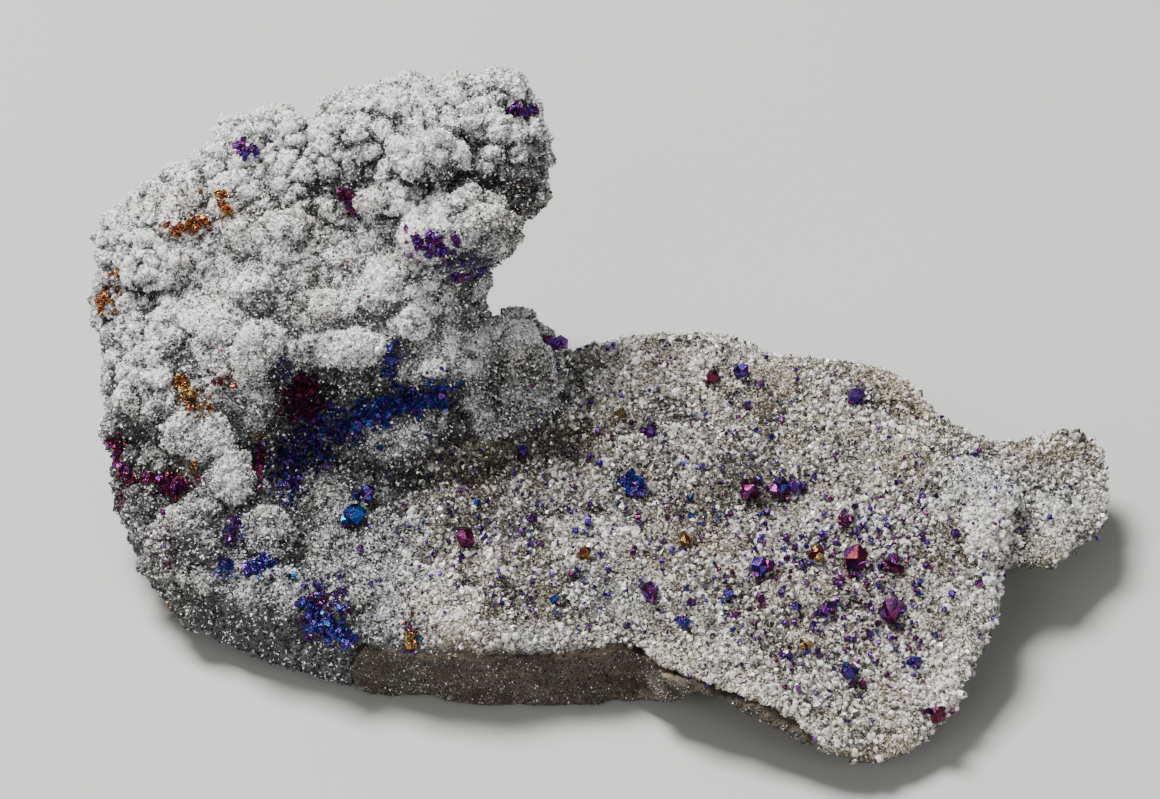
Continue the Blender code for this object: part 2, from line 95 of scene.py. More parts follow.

# Paler or darker places as seen on the leaning face, partly painted light and shade: across, up, half widths,
# change of tone.
# Painted light: the paler place in the cave.
# Painted shade: most darker places, in hollows and crevices, under overhangs and near the cave.
SHADE_LIGHT_AND_TONE_PATCHES = (
    (-30.0, 20.5, 6.5, 5.5, 0.12), (-37.0, -1.5, 9.0, 3.2, -0.34), (-41.5, 6.4, 3.2, 2.6, -0.22),
    (-8.5, 45.0, 2.8, 6.5, -0.26), (-15.0, 45.2, 4.0, 1.5, -0.42), (-14.6, 36.8, 3.2, 1.8, -0.42),
    (-15.2, 20.5, 0.8, 2.8, -0.40), (-38.7, 14.2, 1.9, 2.7, 0.40), (-17.0, 0.6, 4.5, 3.2, 0.16),
    (41.0, 10.5, 3.0, 5.0, 0.20), (38.0, -6.0, 6.0, 9.0, 0.10), (-40.0, 5.0, 11.0, 8.0, -0.07),
    (-18.8, 49.0, 4.2, 1.7, 0.20), (-13.0, 41.5, 3.5, 2.5, -0.10), (-20.0, 11.0, 13.0, 5.0, -0.14),
    (-4.0, 2.5, 11.0, 5.0, -0.09), (-29.0, 0.2, 2.8, 3.2, -0.34), (-27.0, 43.6, 2.2, 1.4, -0.30),
    (-50.0, 14.0, 2.0, 6.0, -0.20), (-40.0, 10.2, 2.5, 1.2, -0.26), (-50.0, 26.0, 4.0, 6.0, 0.14),
    (-31.0, 31.5, 9.0, 2.4, -0.14), (10.0, 14.0, 12.0, 5.0, -0.10), (30.0, -8.0, 8.0, 6.0, 0.12),
)

# Crisp ledges and caps on the growth, as seen on the leaning face: across, up, half widths, rise in mm.
LEDGES = (
    (-17.9, 48.4, 3.7, 2.1, 0.9), (-9.4, 51.0, 2.2, 1.3, 0.7), (-15.3, 40.2, 6.0, 3.9, 0.8),
    (-17.6, 39.6, 2.9, 1.8, 0.5), (-22.1, 43.7, 2.5, 1.6, 0.7), (-38.7, 14.2, 1.9, 2.7, 0.9),
    (-41.6, 7.4, 5.6, 4.6, 0.6), (-35.0, 8.4, 2.4, 2.7, 0.7), (-34.0, 2.1, 4.6, 2.6, 0.6),
    (-27.4, 28.3, 5.2, 1.8, 0.7), (-17.4, 26.0, 1.6, 0.9, 0.5), (-13.3, 19.2, 2.3, 2.4, 0.7),
    (-23.0, 19.5, 6.8, 3.0, 0.4), (-28.0, 32.6, 2.4, 1.5, 0.7), (-19.6, 30.9, 1.7, 1.8, 0.7),
    (-38.7, 44.7, 1.5, 1.7, 0.6), (-44.3, 44.6, 1.6, 1.8, 0.6), (-42.5, 19.0, 4.0, 2.6, 0.5),
    (-47.5, 23.2, 3.0, 2.8, 0.6), (-26.0, 50.0, 4.0, 2.4, 0.6), (-33.0, 40.0, 3.4, 2.6, 0.6),
    (-35.5, 26.5, 3.4, 4.2, 0.6), (-21.0, 35.5, 3.6, 2.4, 0.5), (-47.0, 37.0, 2.6, 2.8, 0.6),
    (-9.8, 24.0, 5.0, 7.0, 1.2),
)


def reach_from(seen, across, up, half_across, half_up):
    """The square of each point's distance from a place, in half widths."""
    return ((seen[:, 0] - across) / half_across) ** 2 + ((seen[:, 1] - up) / half_up) ** 2


def painted_shade_and_tone(points):
    """The change of tone at points, partly painted shade and light: each patch fades out as a bell from its
    middle.
    """
    seen = seen_places(points)
    change = np.zeros(len(points))
    for *ellipse, amount in SHADE_LIGHT_AND_TONE_PATCHES:
        reach = reach_from(seen, *ellipse)
        change += amount * np.exp(-reach * reach)
    return change


def ledged(points):
    """The ledges' rise, and 1 along their rims as a painted highlight: ragged ellipses, flat on top and steep
    at the edge.
    """
    seen = seen_places(points)
    ragged = 0.14 * soft_noise(points, 1.7, 61) + 0.08 * soft_noise(points, 0.9, 62)
    rise, rim = np.zeros(len(points)), np.zeros(len(points))
    for across, up, half_across, half_up, height in LEDGES:
        reach = np.hypot((seen[:, 0] - across) / half_across, (seen[:, 1] - up) / half_up) + ragged
        inside = smooth_step(1.07, 0.93, reach)
        rise += height * inside
        rim = np.maximum(rim, smooth_step(0.6, 0.95, reach) * inside)
        # Painted shade: -0.8 in a band just below each ledge, where the ledge would cast its shade.
        rim = np.where((reach > 1.05) & (reach < 1.3) & (seen[:, 1] < up), -0.8, rim)
    return rise, rim


def move(points, normals, height):
    return points + normals * height[:, None]


def face_coordinates(points):
    """Across, up and out of the leaning face: the frame's shift taken off, then turned about the x axis."""
    x = points[:, 0] - ORIGIN_SHIFT[0]
    y = points[:, 1] - ORIGIN_SHIFT[1]
    z = points[:, 2]
    sine, cosine = math.sin(FACE_LEAN), math.cos(FACE_LEAN)
    up = y * sine + z * cosine
    out = -y * cosine + z * sine
    return np.stack((x, up, out), axis=1)


def seen_places(points):
    """Where points are seen on the leaning face: what lies deeper is drawn a little towards the centre."""
    face = face_coordinates(points)
    spread = 1 + (SEEN_CENTRE[2] - face[:, 2]) / SEEN_FROM
    across = SEEN_CENTRE[0] + (face[:, 0] - SEEN_CENTRE[0]) / spread
    up = SEEN_CENTRE[1] + (face[:, 1] - SEEN_CENTRE[1]) / spread
    return np.stack((across, up), axis=1)


def smooth_step(low, high, value):
    t = np.clip((value - low) / (high - low), 0, 1)
    return t * t * (3 - 2 * t)


HASH_FACTORS = (73856093, 19349663, 83492791)
HASH_SALT = 2654435761
HASH_MIXER = np.uint64(0xFF51AFD7ED558CCD)
HASH_SHIFT = np.uint64(33)
HASH_STEPS = 1000003


def hashed(cells, salt):
    """A number from 0 to 1 for each whole-number cell: coordinates mixed by odd factors and bit shifts."""
    x, y, z = (cells[..., axis] * factor for axis, factor in enumerate(HASH_FACTORS))
    mixed = (x ^ y ^ z ^ salt * HASH_SALT).astype(np.uint64)
    mixed ^= mixed >> HASH_SHIFT
    mixed *= HASH_MIXER
    mixed ^= mixed >> HASH_SHIFT
    return (mixed % np.uint64(HASH_STEPS)).astype(float) / HASH_STEPS


NEIGHBOURS = np.indices((3, 3, 3)).reshape(3, -1).T - 1
CUBE_CORNERS = np.indices((2, 2, 2)).reshape(3, -1).T


def nearest_centres(points, cell, salt):
    """Distances to the nearest and second nearest cell centre, in cells, and a random number for the nearest.

    Space is cut in cubes, each with a centre at a hashed place, and the 27 cubes round a point are compared.
    """
    scaled = points / cell
    home = np.floor(scaled).astype(np.int64)
    farther_than_any, number_salt = 9.0, salt + 7
    first = np.full(len(points), farther_than_any)
    second = first.copy()
    chosen = np.zeros(len(points))
    for step in NEIGHBOURS:
        cube = home + step
        centre = cube + np.stack([hashed(cube, salt + axis) for axis in range(3)], axis=1)
        distance = np.linalg.norm(scaled - centre, axis=1)
        nearer = distance < first
        second = np.where(nearer, first, np.minimum(second, distance))
        chosen = np.where(nearer, hashed(cube, number_salt), chosen)
        first = np.where(nearer, distance, first)
    return first, second, chosen


def soft_noise(points, cell, salt):
    """Noise from -1 to 1: hashed values at the cube corners, blended by smooth steps along each axis."""
    scaled = points / cell
    home = np.floor(scaled).astype(np.int64)
    t = smooth_step(0, 1, scaled - home)
    total = np.zeros(len(points))
    for corner in CUBE_CORNERS:
        weight = np.prod(np.where(corner == 1, t, 1 - t), axis=1)
        total += weight * hashed(home + corner, salt)
    return total * 2 - 1


def knobs(points, cell, salt):
    """Flat-topped knobs: their height, 1 away from the creases between them, and 1 on the rims beside those.

    The height is one less the square of the distance from the cell's centre, with a step down at the crease,
    where the second centre is as near as the first.
    """
    first, second, size = nearest_centres(points, cell, salt)
    open_place = smooth_step(0.0, 0.26, second - first)
    height = (0.6 + 0.4 * size) * (0.6 * (1 - 1.6 * first * first) + 0.4 * open_place)
    return height, open_place, open_place * smooth_step(0.25, 0.5, first)


def vectors_of(mesh, kind):
    vectors = np.empty(len(mesh.vertices) * 3, np.float32)
    mesh.vertices.foreach_get(kind, vectors)
    return vectors.reshape(-1, 3).astype(float)


def points_of(mesh):
    return vectors_of(mesh, "co") / MM


def normals_of(mesh):
    return vectors_of(mesh, "normal")


def put_points(mesh, points):
    mesh.vertices.foreach_set("co", (points * MM).astype(np.float32).ravel())
    mesh.update()


def linked(name, mesh):
    piece = bpy.data.objects.new(name, mesh)
    bpy.context.scene.collection.objects.link(piece)
    return piece


def fine_copy(node, name, voxel):
    """The node's solid again in small even faces: a copy with its doubles merged, remeshed and smoothed."""
    bm = bmesh.new()
    bm.from_mesh(frame["nodes"][node].data)
    bmesh.ops.remove_doubles(bm, verts=bm.verts, dist=0.001 * MM)
    mesh = bpy.data.meshes.new(name)
    bm.to_mesh(mesh)
    bm.free()
    piece = linked(name, mesh)
    remesh = piece.modifiers.new("even", "REMESH")
    remesh.mode = "VOXEL"
    remesh.voxel_size = voxel * MM
    smooth = piece.modifiers.new("smooth", "SMOOTH")
    smooth.factor = 0.5
    smooth.iterations = 4
    bpy.context.view_layer.update()
    settled = bpy.data.meshes.new_from_object(piece.evaluated_get(bpy.context.evaluated_depsgraph_get()))
    piece.modifiers.clear()
    piece.data = settled
    settled.name = name
    return piece


def set_attribute(mesh, name, values, domain="POINT"):
    layer = mesh.attributes.new(name, "FLOAT", domain)
    layer.data.foreach_set("value", np.asarray(values, np.float32))


def shade_flat(mesh):
    mesh.polygons.foreach_set("use_smooth", np.zeros(len(mesh.polygons), bool))


def mesh_from(name, points, faces):
    """A flat-shaded mesh from points in mm and a table of triangles, filled as whole arrays."""
    mesh = bpy.data.meshes.new(name)
    mesh.vertices.add(len(points))
    mesh.vertices.foreach_set("co", (points * MM).astype(np.float32).ravel())
    mesh.loops.add(faces.size)
    mesh.loops.foreach_set("vertex_index", faces.ravel().astype(np.int32))
    mesh.polygons.add(len(faces))
    mesh.polygons.foreach_set("loop_start", np.arange(0, faces.size, 3, dtype=np.int32))
    shade_flat(mesh)
    mesh.update(calc_edges=True)
    mesh.validate()
    return mesh


def triangles_of(mesh):
    """Corner points, vectors square to the faces, areas and point numbers of a mesh's triangles."""
    mesh.calc_loop_triangles()
    index = np.empty(len(mesh.loop_triangles) * 3, np.int32)
    mesh.loop_triangles.foreach_get("vertices", index)
    index = index.reshape(-1, 3)
    corners = points_of(mesh)[index]
    across = np.cross(corners[:, 1] - corners[:, 0], corners[:, 2] - corners[:, 0])
    return corners, across, np.linalg.norm(across, axis=1) / 2, index


def smoothed(mesh, points, rounds):
    """Points drawn again and again to the mean of their neighbours along the mesh's edges."""
    edges = np.empty(len(mesh.edges) * 2, np.int32)
    mesh.edges.foreach_get("vertices", edges)
    ends = edges.reshape(-1, 2)
    near = np.concatenate((ends[:, 0], ends[:, 1]))
    far = np.concatenate((ends[:, 1], ends[:, 0]))
    count = np.bincount(near, minlength=len(points))
    for _ in range(rounds):
        sums = [np.bincount(near, weights=points[far, axis], minlength=len(points)) for axis in range(3)]
        points = np.stack(sums, axis=1) / count[:, None]
    return points


def standing_out(mesh, points, normals, rounds):
    """How far each point stands out of the smoothed surface: above nought on bumps, below it in hollows."""
    return ((points - smoothed(mesh, points, rounds)) * normals).sum(axis=1)


def calm_normals(mesh, points, rounds):
    """The normals of the smoothed surface, which leave out its small bumps."""
    put_points(mesh, smoothed(mesh, points, rounds))
    calm = normals_of(mesh)
    put_points(mesh, points)
    return calm


def unit(vectors, least=TINY):
    """Vectors at length one, with a least amount added to each length so that none is divided by nought."""
    return vectors / (np.linalg.norm(vectors, axis=1, keepdims=True) + least)


def field(mesh, name):
    values = np.empty(len(mesh.vertices), np.float32)
    mesh.attributes[name].data.foreach_get("value", values)
    return values.astype(float)


def scatter(mesh, count, seed, weigh, fields=()):
    """Random places on a mesh, each triangle drawn by its area times a weight worked out at its middle.

    Gives the places, the surface's normals there, and the named fields blended from the triangle's corners.
    """
    rng = np.random.default_rng(seed)
    corners, across, area, index = triangles_of(mesh)
    weight = area * np.clip(weigh(corners.mean(axis=1), unit(across)), 0, None)
    chosen = rng.choice(len(area), count, p=weight / weight.sum())
    u = rng.random((count, 2))
    u = np.where(u.sum(axis=1, keepdims=True) > 1, 1 - u, u)
    mix = np.stack((1 - u.sum(axis=1), u[:, 0], u[:, 1]), axis=1)
    places = (corners[chosen] * mix[:, :, None]).sum(axis=1)
    outward = (normals_of(mesh)[index[chosen]] * mix[:, :, None]).sum(axis=1)
    blended = [(field(mesh, name)[index[chosen]] * mix).sum(axis=1) for name in fields]
    return places, unit(outward), *blended


def bases(outward, tilt, rng):
    """Three axes for each grain: the third is the outward normal, tipped, and the others are spun round."""
    spin = rng.uniform(0, FULL_TURN, len(outward))
    third = unit(outward + tilt * rng.normal(size=outward.shape), 0)
    helper = np.where(np.abs(third[:, 2:3]) < 0.9, (0.0, 0.0, 1.0), (1.0, 0.0, 0.0))
    first = unit(np.cross(helper, third), 0)
    second = np.cross(third, first)
    cosine, sine = np.cos(spin)[:, None], np.sin(spin)[:, None]
    return np.stack((first * cosine + second * sine, second * cosine - first * sine, third), axis=1)


def quartz_shape(sides, waist):
    """A crystal one unit wide and high: a buried ring, a ring at the waist and a point above it.

    With no waist it is the point alone, straight from the buried ring.
    """
    radius, buried = 0.5, -0.35
    index = np.arange(sides)
    after = (index + 1) % sides
    angle = index * 2 * math.pi / sides
    ring = np.stack((np.cos(angle), np.sin(angle)), axis=1) * radius
    low = np.column_stack((ring, np.full(sides, buried)))
    tip = np.array(((0.0, 0.0, 1.0),))
    if not waist:
        return np.concatenate((low, tip)), np.column_stack((index, after, np.full(sides, sides)))
    middle = np.column_stack((ring, np.full(sides, waist)))
    faces = np.concatenate((
        np.column_stack((index, after, after + sides)),
        np.column_stack((index, after + sides, index + sides)),
        np.column_stack((index + sides, after + sides, np.full(sides, 2 * sides))),
    ))
    return np.concatenate((low, middle, tip)), faces


def hull_shape(points):
    """The closed hull round a few points, as points and triangles facing out."""
    bm = bmesh.new()
    for point in points:
        bm.verts.new(point)
    hull = bmesh.ops.convex_hull(bm, input=bm.verts)
    inside = set(hull["geom_interior"] + hull["geom_unused"])
    points_inside = [item for item in inside if isinstance(item, bmesh.types.BMVert)]
    bmesh.ops.delete(bm, geom=points_inside, context="VERTS")
    bmesh.ops.triangulate(bm, faces=bm.faces)
    bmesh.ops.recalc_face_normals(bm, faces=bm.faces)
    bm.verts.index_update()
    shape = np.array([vert.co[:] for vert in bm.verts])
    faces = np.array([[vert.index for vert in face.verts] for face in bm.faces])
    bm.free()
    return shape, faces


def wedge_shape():
    """A wedge about one unit across: a four-faced solid with each corner cut back along its three edges."""
    reach, cut = 0.42, 0.22
    corners = np.array(((1, 1, 1), (1, -1, -1), (-1, 1, -1), (-1, -1, 1))) * reach
    points = [
        corners[near] + cut * (corners[far] - corners[near])
        for near in range(4) for far in range(4) if near != far
    ]
    return hull_shape(points)


def lump_shape(count, seed):
    """A many-faced crystal one unit across: points spread evenly by the golden angle, pulled in at random."""
    rng = np.random.default_rng(seed)
    turn = np.arange(count) * math.pi * (3 - math.sqrt(5))
    height = 1 - 2 * (np.arange(count) + 0.5) / count
    ring = np.sqrt(1 - height**2)
    sphere = np.stack((ring * np.cos(turn), ring * np.sin(turn), height), axis=1)
    return hull_shape(sphere * 0.5 * rng.uniform(0.82, 1.0, (count, 1)))


def grains(name, shape, places, axes, sizes):
    """Copies of a small shape as one mesh: points times sizes, turned by each grain's axes, then moved."""
    corners, faces = shape
    local = corners[None, :, :] * sizes[:, None, :]
    points = np.einsum("gpi,gij->gpj", local, axes) + places[:, None, :]
    points[:, :, 2] = np.maximum(points[:, :, 2], GRAIN_FLOOR)
    table = faces[None, :, :] + (np.arange(len(places)) * len(corners))[:, None, None]
    return mesh_from(name, points.reshape(-1, 3), table.reshape(-1, 3))


def squat(width, rng):
    return np.stack((width, width, width * rng.uniform(0.3, 0.7, len(width))), axis=1)


def over_faces(mesh, values):
    """One value for each grain, repeated for all the grain's faces."""
    return np.repeat(values, len(mesh.polygons) // len(values))


def per_grain(mesh, name, values):
    set_attribute(mesh, name, over_faces(mesh, values), "FACE")


def per_face_tone(mesh, tone, spread, glints, rng):
    """Each face of a grain has a tone of its own about the grain's, and a share are painted glints: white,
    and marked to glow.
    """
    values = over_faces(mesh, tone)
    values = values + spread * rng.normal(size=len(values))
    glinting = rng.random(len(values)) < glints
    values[glinting] = 1.0
    set_attribute(mesh, "tone", np.clip(values, 0, 1), "FACE")
    set_attribute(mesh, "painted_glint", glinting * rng.uniform(0.2, 1.0, len(values)), "FACE")


def set_hue(mesh, hue):
    """The place of each face on the tarnish ramp, kept off the ramp's very ends."""
    set_attribute(mesh, "hue", np.clip(hue, 0.02, 0.98), "FACE")


def set_painted_sparkle(mesh, bright, rng):
    """A painted sparkle on each face: most faces are nearly black, and a share of them is bright, as if they
    caught the light.
    """
    count = len(mesh.polygons)
    painted_sparkle = np.where(rng.random(count) < bright, rng.uniform(0.7, 1.0, count), rng.uniform(0.05, 0.45, count))
    set_attribute(mesh, "painted_sparkle", painted_sparkle, "FACE")


class Value:
    """A socket that can be used in sums: each operator adds its Math node."""

    def __init__(self, tree, socket):
        self.tree = tree
        self.socket = socket

    def math(self, operation, *others):
        node = self.tree.nodes.new("ShaderNodeMath")
        node.operation = operation
        for slot, other in enumerate((self,) + others):
            if isinstance(other, Value):
                self.tree.links.new(other.socket, node.inputs[slot])
            else:
                node.inputs[slot].default_value = other
        return Value(self.tree, node.outputs[0])

    def __add__(self, other):
        return self.math("ADD", other)

    def __sub__(self, other):
        return self.math("SUBTRACT", other)

    def __rsub__(self, other):
        return (self * -1.0).math("ADD", other)

    def __mul__(self, other):
        return self.math("MULTIPLY", other)

    def clamped(self):
        return self.math("MAXIMUM", 0.0).math("MINIMUM", 1.0)

    __radd__ = __add__
    __rmul__ = __mul__


class Finish:
    """One material and the short ways to add its nodes."""

    def __init__(self, name):
        self.material = bpy.data.materials.new(name)
        self.material.use_nodes = True
        self.tree = self.material.node_tree
        self.shader = self.tree.nodes["Principled BSDF"]

    def node(self, kind, settings=None, values=None, output=0):
        """Adds a node: its settings first, then numbers or links for its sockets by name or place."""
        made = self.tree.nodes.new(kind)
        for key, setting in (settings or {}).items():
            if key == "stops":
                ramp = made.color_ramp
                for stop, (place, colour) in enumerate(setting):
                    element = ramp.elements[stop] if stop < 2 else ramp.elements.new(place)
                    element.position = place
                    element.color = (*colour, 1)
            else:
                setattr(made, key, setting)
        for key, value in (values or {}).items():
            self.join(made.inputs[key], value)
        return Value(self.tree, made.outputs[output])

    def join(self, socket, value):
        if isinstance(value, Value):
            self.tree.links.new(value.socket, socket)
        else:
            socket.default_value = value

    def set(self, **values):
        """Sets the shader's sockets, named in lower case with underscores."""
        for key, value in values.items():
            self.join(self.shader.inputs[key.replace("_", " ").title()], value)

    def attribute(self, name):
        return self.node("ShaderNodeAttribute", {"attribute_name": name}, output="Fac")

    def place(self):
        return self.node("ShaderNodeTexCoord", output="Object")

    def noise(self, per_mm, detail, roughness):
        values = {"Vector": self.place(), "Scale": per_mm / MM, "Detail": detail, "Roughness": roughness}
        return self.node("ShaderNodeTexNoise", {}, values)

    def ramp(self, value, *stops):
        return self.node("ShaderNodeValToRGB", {"stops": stops}, {"Fac": value})

    def mix(self, factor, first, second, way="MIX"):
        """Mixes two colours. The node's sockets share their names, so they go by their places."""
        factor_in, first_in, second_in, colour_out = 0, 6, 7, 2
        values = {factor_in: factor, first_in: first, second_in: second}
        return self.node("ShaderNodeMix", {"data_type": "RGBA", "blend_type": way}, values, colour_out)

    def bump(self, height, distance, strength):
        values = {"Height": height, "Distance": distance * MM, "Strength": strength}
        return self.node("ShaderNodeBump", {}, values)


def druse_finish(name, colours, roughness, speckle):
    """Quartz: dark to pale by tone, as the eye sees it, with fine cells, and tinted in its darker grains."""
    finish = Finish(name)
    values = {"Vector": finish.place(), "Scale": DRUSE_CELLS_PER_MM / MM}
    cells = finish.node("ShaderNodeTexVoronoi", {}, values, output="Color")
    grain = finish.node("ShaderNodeSeparateColor", {}, {"Color": cells})
    tone = (finish.attribute("tone") + (grain - 0.5) * speckle).clamped()
    stops = [
        (step, tuple(low + (high - low) * step**EYE_POWER for low, high in zip(colours.dark, colours.pale)))
        for step in (0.0, 0.2, 0.4, 0.6, 0.8, 1.0)
    ]
    colour = finish.ramp(tone, *stops)
    stain = (finish.attribute("earth") * (1.35 - tone)).clamped()
    stained = finish.mix(stain, colour, (*colours.earth, 1), "MULTIPLY")
    finish.set(base_color=stained, roughness=roughness, normal=finish.bump(grain, 0.12, 0.5))
    # Painted glints: marked faces glow white by emission, a painted highlight that shows in shade too.
    finish.set(emission_color=finish.attribute("painted_glint"), emission_strength=PAINTED_GLINT_GLOW)
    return finish.material


def rock_finish(name, colours):
    """Broken rock: brown by a fine and a coarse noise, pale along its rim, dull, with a fine grained bump."""
    finish = Finish(name)
    coarse = finish.noise(per_mm=0.35, detail=5.0, roughness=0.6)
    fine = finish.noise(per_mm=5.0, detail=4.0, roughness=0.7)
    stops = ((0.36, colours.rock_dark), (0.52, colours.rock), (0.66, colours.rock_pale))
    colour = finish.ramp(coarse * 0.4 + fine * 0.6, *stops)
    rim = finish.mix(finish.attribute("earth").clamped(), colour, (*colours.rock_rim, 1))
    finish.set(base_color=rim, roughness=0.62 + fine * 0.3, normal=finish.bump(fine, 0.25, 0.7))
    return finish.material


def tarnish_finish(name):
    """Tarnished chalcopyrite: the crystal's hue plus patches, on a ramp from brass through purple to teal."""
    finish = Finish(name)
    patches = finish.noise(per_mm=1.3, detail=2.0, roughness=0.5) - 0.5
    stripes = finish.noise(per_mm=4.5, detail=3.0, roughness=0.6) - 0.5
    hue = finish.attribute("hue") + patches * 0.45 + stripes * 0.12
    colour = finish.ramp(
        hue, (0.0, (0.90, 0.68, 0.24)), (0.13, (0.72, 0.32, 0.06)), (0.24, (0.52, 0.12, 0.05)),
        (0.36, (0.24, 0.03, 0.06)), (0.48, (0.28, 0.04, 0.17)), (0.60, (0.26, 0.06, 0.44)),
        (0.72, (0.12, 0.07, 0.56)), (0.85, (0.03, 0.12, 0.54)), (1.0, (0.02, 0.36, 0.62)),
    )
    # Painted sparkle: most faces are mixed towards black and a share keep their colour, as if they caught the
    # light.
    painted_sparkle = finish.attribute("painted_sparkle")
    colour = finish.mix(painted_sparkle, (0.012, 0.008, 0.018, 1), colour)
    rough = 0.16 + (patches + 0.5) * 0.16
    finish.set(base_color=colour, metallic=1.0, roughness=rough, normal=finish.bump(stripes, 0.14, 0.8))
    # A painted glow in the tarnish's own colour, so that it shows in shade.
    finish.set(emission_color=colour, emission_strength=TARNISH_PAINTED_GLOW)
    return finish.material


def on_growth(points):
    """One on the tall growth and nought on the plate, by place: left of the plate, or above its top."""
    return np.maximum(smooth_step(*GROWTH_SIDE, points[:, 0]), smooth_step(*GROWTH_FOOT, points[:, 2]))


def earthiness(points):
    """How far the rock's brown comes through: along the back right edge, behind the ear, in the plate's gaps.

    The strip along the edge fades with the fourth power of the way along it and the square of the way off it.
    """
    x, y = (points[:, :2] - BACK_EDGE).T
    cosine, sine = BACK_EDGE_TURN
    back = np.exp(-(((x * cosine - y * sine) / 10) ** 4) - ((x * sine + y * cosine) / 3.4) ** 2)
    ear = 0.9 * np.exp(-reach_from(points, *EAR_BACK))
    under = 0.15 * smooth_step(5, 2, points[:, 2])
    plate = 0.80 * (1 - on_growth(points)) * (0.8 + 0.6 * soft_noise(points, 7.0, 33))
    patches = 0.3 * soft_noise(points, 4.0, 31) * (back + ear)
    patches += 0.22 * smooth_step(0.1, 0.8, soft_noise(points, 5.0, 34))
    return np.clip(back + ear + under + plate + patches, 0, 1)


def add_piece(piece, finish, nodes=()):
    piece.data.materials.clear()
    piece.data.materials.append(finish)
    if nodes:
        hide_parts(*nodes)
    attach(piece, "root")


def add_quartz(mesh, finish, tone, earth, spread, glints, rng):
    """Adds a mesh of quartz grains, each with its own tone and its own share of the rock's brown."""
    per_face_tone(mesh, tone, spread, glints, rng)
    per_grain(mesh, "earth", earth)
    add_piece(linked(mesh.name, mesh), finish)


def crowned(points):
    """One along the top and left edges of the growth as seen on the leaning face, where it is coarse."""
    seen = seen_places(points)
    return np.maximum(smooth_step(37, 46, seen[:, 1]), smooth_step(-42, -49, seen[:, 0])) * on_growth(points)


class SpecimenSizes(bpy.types.PropertyGroup):
    """Sizes in millimetres, and counts."""

    ground_voxel: FloatProperty(name="Crust face", description="Face size of the crust", default=0.5)
    rock_voxel: FloatProperty(name="Rock face", description="Face size of the broken rock", default=0.55)
    knob_cell: FloatProperty(name="Knob", description="Width of the knobs on the growth", default=3.4)
    knob_height: FloatProperty(name="Knob height", description="How far the knobs stand out", default=0.9)
    growth_grain: FloatProperty(name="Growth crystal", description="Width of a fine crystal", default=0.36)
    plate_grain: FloatProperty(name="Plate crystal", description="Width of a glassy crystal", default=0.66)
    growth_count: IntProperty(name="Growth crystals", description="Crystals on the growth", default=99000)
    crown_count: IntProperty(name="Crown", description="Coarse crystals atop the growth", default=5000)
    plate_count: IntProperty(name="Plate crystals", description="Crystals on the plate", default=9000)
    plate_fill: IntProperty(name="Plate grains", description="Small crystals on the plate", default=34000)
    underside_count: IntProperty(name="Underside grains", description="Crystals underneath", default=11000)
    rock_count: IntProperty(name="Rock grains", description="Sparkling grains on the rock", default=14000)
    speck_share: FloatProperty(name="Specks", description="Share of the chalcopyrite specks", default=1.0)


def colour_property(name, description, default):
    return FloatVectorProperty(name=name, description=description, subtype="COLOR", default=default)


class SpecimenColours(bpy.types.PropertyGroup):
    """Colours of the quartz, the rock and the floor."""

    pale: colour_property("Pale quartz", "The brightest grains", (0.90, 0.895, 0.88))
    dark: colour_property("Dark quartz", "The dimmest grains", (0.012, 0.013, 0.014))
    earth: colour_property("Earth", "The tint where the rock comes through", (0.92, 0.74, 0.46))
    rock: colour_property("Rock", "The rock", (0.064, 0.047, 0.032))
    rock_dark: colour_property("Rock dark", "The rock's dark", (0.024, 0.019, 0.016))
    rock_pale: colour_property("Rock pale", "The rock's pale", (0.20, 0.155, 0.11))
    rock_rim: colour_property("Rock rim", "The tan line under the crust", (0.26, 0.21, 0.14))
    floor: colour_property("Floor", "The floor", (0.52, 0.52, 0.505))


def crust_relief(points, growth, edge, sizes):
    """How far the crust rises at points, painted shade in its creases and painted highlight on its rims, and
    its gravel's tone.

    The growth rises by knobs of two sizes, by ledges, and by coarser knobs along its crown. The plate rolls
    gently, with gravel on its crest.
    """
    warp = np.stack([soft_noise(points, 4.0, 41 + axis) for axis in range(3)], axis=1)
    bold = 0.62 + 0.4 * soft_noise(points, 9.0, 51) + 0.3 * smooth_step(28, 36, points[:, 2])
    crest = np.exp(-reach_from(seen_places(points), *CREST) ** 2)
    lumps, crease, rim = knobs(points + 1.1 * warp, sizes.knob_cell, 3)
    small, fine_crease, fine_rim = knobs(points + 0.5 * warp, sizes.knob_cell * 0.45, 13)
    crown, crown_crease, crown_rim = knobs(points + 0.7 * warp, CROWN_KNOB, 17)
    ledge, ledge_rim_light_and_shade = ledged(points)
    # Painted shade in the creases between knobs and just below the ledges, and painted highlights along the
    # rims.
    crease_shade_and_rim_light = 0.10 * rim + 0.10 * fine_rim - 0.20 * (1 - crease) - 0.12 * (1 - fine_crease) + 0.5 * ledge_rim_light_and_shade
    crease_shade_and_rim_light += edge * (0.14 * crown_rim - 0.36 * (1 - crown_crease))
    rolling = soft_noise(points, 5.0, 23) * 0.4 + soft_noise(points, 2.2, 24) * 0.25
    height = growth * ((lumps - 0.45) * bold + (small - 0.4) * 0.45) * sizes.knob_height
    height += growth * (ledge + 1.7 * edge * (crown - 0.45)) + (1 - growth) * (rolling + 1.2 * crest * small)
    return height * smooth_step(0.4, 3.0, points[:, 2]), crease_shade_and_rim_light, 0.3 * crest * (small + rim)


